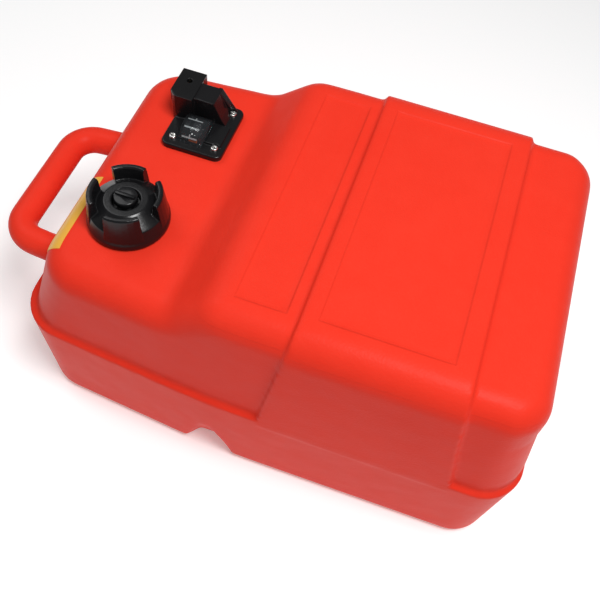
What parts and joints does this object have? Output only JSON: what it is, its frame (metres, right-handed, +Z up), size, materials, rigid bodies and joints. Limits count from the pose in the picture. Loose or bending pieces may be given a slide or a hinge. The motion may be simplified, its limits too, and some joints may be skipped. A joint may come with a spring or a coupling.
{
  "type": "outboard fuel tank",
  "caption": "Portable moulded fuel tank with a carrying loop at one end, screw filler cap with vent knob, float level gauge and hose socket.",
  "frame": {"origin": "middle of the tank's base, at the ground", "axes": "+X along the tank away from its carrying handle, +Y across it from the filler to the gauge side, +Z up"},
  "size_m": [0.5183, 0.305, 0.257],
  "materials": {
    "red_moulding": "satin, lightly pebbled polyethylene",
    "black_plastic": "satin",
    "seal_rubber": "matte",
    "clear_lens": "clear moulded plastic",
    "scale_plastic": "matte with pale marks",
    "indicator_orange": "matte",
    "stainless": "bright",
    "float_foam": "fine closed foam",
    "natural_plastic": "satin",
    "brass": "machined",
    "amber_label": "printed film, left plain"
  },
  "bodies": {
    "tank": {"tank_shell": "red_moulding", "gauge_body": "black_plastic", "gauge_lens": "clear_lens", "sender_frame": "black_plastic", "pivot_pin": "stainless", "gauge_scale": "scale_plastic", "gauge_gasket": "seal_rubber", "gauge_screws": "stainless", "screw_inserts": "brass", "pickup_tube": "black_plastic", "pickup_strainer": "natural_plastic", "outlet_sleeve": "brass", "outlet_seal": "seal_rubber", "outlet_spring": "stainless", "blank_label": "amber_label"},
    "cap_carrier": {"cap_gasket": "seal_rubber"},
    "cap": {"filler_cap": "black_plastic"},
    "vent_carrier": {"vent_seal": "seal_rubber"},
    "vent": {"vent_knob": "black_plastic"},
    "float": {"float_arm": "stainless", "level_drum": "indicator_orange", "float_body": "float_foam", "float_clip": "stainless"},
    "valve": {"outlet_valve": "brass"}
  },
  "joints": [
    {"name": "cap_lift", "type": "slide", "parent": "tank", "child": "cap_carrier", "axis": [0, 0, 1], "range_m": [0, 0.0151]},
    {"name": "cap_turn", "type": "hinge", "parent": "cap_carrier", "child": "cap", "pos_m": [-0.146, -0.0585, 0.2225], "axis": [0, 0, 1], "range_deg": [0, 900]},
    {"name": "vent_lift", "type": "slide", "parent": "cap", "child": "vent_carrier", "axis": [0, 0, 1], "range_m": [0, 0.0029]},
    {"name": "vent_turn", "type": "hinge", "parent": "vent_carrier", "child": "vent", "pos_m": [-0.146, -0.0585, 0.242], "axis": [0, 0, 1], "range_deg": [0, 500]},
    {"name": "float_swing", "type": "hinge", "parent": "tank", "child": "float", "pos_m": [-0.1285, 0.05, 0.224], "axis": [-1, 0, 0], "range_deg": [0, 72]},
    {"name": "valve_slide", "type": "slide", "parent": "tank", "child": "valve", "axis": [0, -1, 0], "range_m": [0, 0.003], "stiffness_N_per_m": 400, "springref_m": -0.002, "deforming": ["outlet_spring"]}
  ],
  "couplings": [
    {"joint": "cap_lift", "follows": "cap_turn", "m_per_rad": 0.00095493},
    {"joint": "vent_lift", "follows": "vent_turn", "m_per_rad": 0.00031831}
  ]
}
